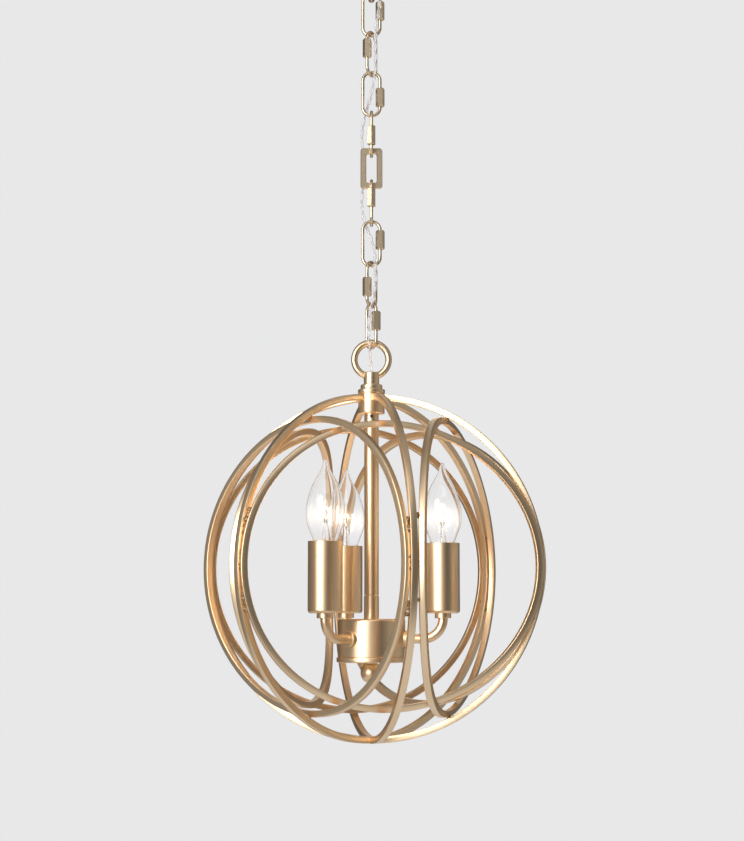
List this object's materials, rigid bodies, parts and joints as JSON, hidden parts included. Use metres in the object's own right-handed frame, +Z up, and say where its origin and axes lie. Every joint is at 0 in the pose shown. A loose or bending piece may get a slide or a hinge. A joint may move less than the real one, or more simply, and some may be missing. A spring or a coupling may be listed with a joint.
{
  "type": "orb chandelier",
  "caption": "Hanging orb chandelier: a ball of bent square bars round a candle-arm lamp on a stem, hung on a quick-link chain from a ceiling cup.",
  "frame": {"origin": "in the ceiling plane on the hanging axis, midway between the two bolt holes of the crossbar", "axes": "+Z up to the ceiling, +X along the crossbar, -Y towards the viewer"},
  "size_m": [0.3163, 0.3172, 0.7741],
  "materials": {
    "champagne_metal": "satin champagne-gold lacquer",
    "chain_metal": "satin champagne-gold lacquer, a little darker",
    "bulb_glass": "clear",
    "bulb_brass": "bright rolled screw base",
    "socket_plastic": "ivory heat-resistant plastic",
    "connector_plastic": "moulded wire nut",
    "cord_clear": "clear insulated twisted flex",
    "zinc_steel": "zinc-plated steel",
    "screw_dark": "dark set screw"
  },
  "bodies": {
    "ceiling_fitting": {"canopy": "champagne_metal", "crossbar": "zinc_steel", "threaded_nipple": "zinc_steel", "nipple_nut": "zinc_steel", "canopy_ring_nut": "champagne_metal", "canopy_loop": "champagne_metal", "wire_connectors": "connector_plastic"},
    "link_1": {"chain_link_1": "chain_metal"},
    "nut_1": {"link_nut_1": "chain_metal"},
    "link_2": {"chain_link_2": "chain_metal"},
    "nut_2": {"link_nut_2": "chain_metal"},
    "link_3": {"chain_link_3": "chain_metal"},
    "nut_3": {"link_nut_3": "chain_metal"},
    "link_4": {"chain_link_4": "chain_metal"},
    "nut_4": {"link_nut_4": "chain_metal"},
    "link_5": {"frame_link_5": "chain_metal", "lamp_cord": "cord_clear"},
    "link_6": {"chain_link_6": "chain_metal"},
    "nut_6": {"link_nut_6": "chain_metal"},
    "link_7": {"chain_link_7": "chain_metal"},
    "nut_7": {"link_nut_7": "chain_metal"},
    "link_8": {"chain_link_8": "chain_metal"},
    "nut_8": {"link_nut_8": "chain_metal"},
    "link_9": {"chain_link_9": "chain_metal"},
    "nut_9": {"link_nut_9": "chain_metal"},
    "lamp": {"arm_1": "champagne_metal", "arm_2": "champagne_metal", "arm_3": "champagne_metal", "arm_collars": "champagne_metal", "candle_cups": "champagne_metal", "candle_sleeve_1": "champagne_metal", "candle_sleeve_2": "champagne_metal", "candle_sleeve_3": "champagne_metal", "finial": "champagne_metal", "fixture_loop": "champagne_metal", "great_hoop_1": "champagne_metal", "great_hoop_2": "champagne_metal", "great_hoop_3": "champagne_metal", "hub_cover": "champagne_metal", "hub_housing": "champagne_metal", "hub_nut": "zinc_steel", "hub_rod": "zinc_steel", "inner_hoop_1": "champagne_metal", "inner_hoop_2": "champagne_metal", "inner_hoop_3": "champagne_metal", "lamp_sockets": "socket_plastic", "loop_washer": "champagne_metal", "outer_hoop_1": "champagne_metal", "outer_hoop_2": "champagne_metal", "outer_hoop_3": "champagne_metal", "stem_screw": "screw_dark", "stem_sleeve": "champagne_metal", "stem_tube": "champagne_metal", "top_collar": "champagne_metal"},
    "bulb_1": {"bulb_glass_1": "bulb_glass", "bulb_base_1": "bulb_brass"},
    "bulb_2": {"bulb_glass_2": "bulb_glass", "bulb_base_2": "bulb_brass"},
    "bulb_3": {"bulb_glass_3": "bulb_glass", "bulb_base_3": "bulb_brass"}
  },
  "joints": [
    {"name": "link_swing_1", "type": "hinge", "parent": "ceiling_fitting", "child": "link_1", "pos_m": [0, 0, -0.0707], "axis": [0, 1, 0], "range_deg": [-30, 30], "deforming": ["lamp_cord"]},
    {"name": "nut_travel_1", "type": "slide", "parent": "link_1", "child": "nut_1", "axis": [0, 0, -1], "range_m": [0, 0.007]},
    {"name": "link_swing_2", "type": "hinge", "parent": "link_1", "child": "link_2", "pos_m": [0, 0, -0.1081], "axis": [1, 0, 0], "range_deg": [-30, 30]},
    {"name": "nut_travel_2", "type": "slide", "parent": "link_2", "child": "nut_2", "axis": [0, 0, -1], "range_m": [0, 0.007]},
    {"name": "link_swing_3", "type": "hinge", "parent": "link_2", "child": "link_3", "pos_m": [0, 0, -0.1473], "axis": [0.5, 0.866, 0], "range_deg": [-30, 30]},
    {"name": "nut_travel_3", "type": "slide", "parent": "link_3", "child": "nut_3", "axis": [0, 0, 1], "range_m": [0, 0.007]},
    {"name": "link_swing_4", "type": "hinge", "parent": "link_3", "child": "link_4", "pos_m": [0, 0, -0.1865], "axis": [1, 0, 0], "range_deg": [-30, 30]},
    {"name": "nut_travel_4", "type": "slide", "parent": "link_4", "child": "nut_4", "axis": [0, 0, 1], "range_m": [0, 0.007]},
    {"name": "link_swing_5", "type": "hinge", "parent": "link_4", "child": "link_5", "pos_m": [0, 0, -0.2257], "axis": [0, 1, 0], "range_deg": [-30, 30]},
    {"name": "link_swing_6", "type": "hinge", "parent": "link_5", "child": "link_6", "pos_m": [0, 0, -0.25465], "axis": [1, 0, 0], "range_deg": [-30, 30]},
    {"name": "nut_travel_6", "type": "slide", "parent": "link_6", "child": "nut_6", "axis": [0, 0, -1], "range_m": [0, 0.007]},
    {"name": "link_swing_7", "type": "hinge", "parent": "link_6", "child": "link_7", "pos_m": [0, 0, -0.2926], "axis": [0, 1, 0], "range_deg": [-30, 30]},
    {"name": "nut_travel_7", "type": "slide", "parent": "link_7", "child": "nut_7", "axis": [0, 0, -1], "range_m": [0, 0.007]},
    {"name": "link_swing_8", "type": "hinge", "parent": "link_7", "child": "link_8", "pos_m": [0, 0, -0.3318], "axis": [1, 0, 0], "range_deg": [-30, 30]},
    {"name": "nut_travel_8", "type": "slide", "parent": "link_8", "child": "nut_8", "axis": [0, 0, 1], "range_m": [0, 0.007]},
    {"name": "link_swing_9", "type": "hinge", "parent": "link_8", "child": "link_9", "pos_m": [0, 0, -0.371], "axis": [0.5, 0.866, 0], "range_deg": [-30, 30]},
    {"name": "nut_travel_9", "type": "slide", "parent": "link_9", "child": "nut_9", "axis": [0, 0, -1], "range_m": [0, 0.007]},
    {"name": "lamp_swing", "type": "hinge", "parent": "link_9", "child": "lamp", "pos_m": [0, 0, -0.4102], "axis": [0.5299, -0.848, 0], "range_deg": [-30, 30]},
    {"name": "bulb_unscrew_1", "type": "slide", "parent": "lamp", "child": "bulb_1", "axis": [0, 0, 1], "range_m": [0, 0.025]},
    {"name": "bulb_unscrew_2", "type": "slide", "parent": "lamp", "child": "bulb_2", "axis": [0, 0, 1], "range_m": [0, 0.025]},
    {"name": "bulb_unscrew_3", "type": "slide", "parent": "lamp", "child": "bulb_3", "axis": [0, 0, 1], "range_m": [0, 0.025]}
  ]
}
